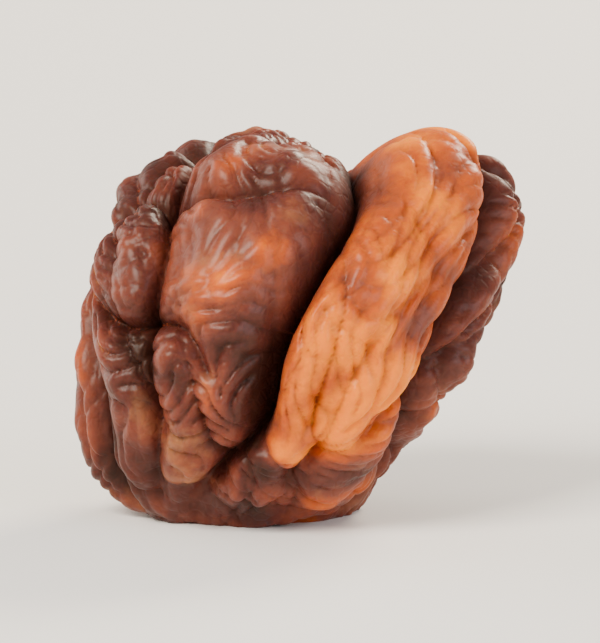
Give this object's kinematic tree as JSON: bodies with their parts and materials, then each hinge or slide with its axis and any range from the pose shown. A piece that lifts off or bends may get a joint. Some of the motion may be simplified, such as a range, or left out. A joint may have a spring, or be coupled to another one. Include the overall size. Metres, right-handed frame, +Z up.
{
  "type": "dried physalis berry",
  "caption": "One dried physalis berry, wrinkled and deeply creased like a large raisin, amber to red-brown, lying on a small flat spot.",
  "frame": {"origin": "bottom centre of the berry's box, on the surface that it lies on", "axes": "+Z up, +X along the berry's widest way, -Y towards the side that shows the bright fold and the long crease"},
  "size_m": [0.013, 0.011, 0.0111],
  "materials": {
    "dried_skin": "satin"
  },
  "bodies": {
    "root": {"berry": "dried_skin"}
  },
  "joints": []
}
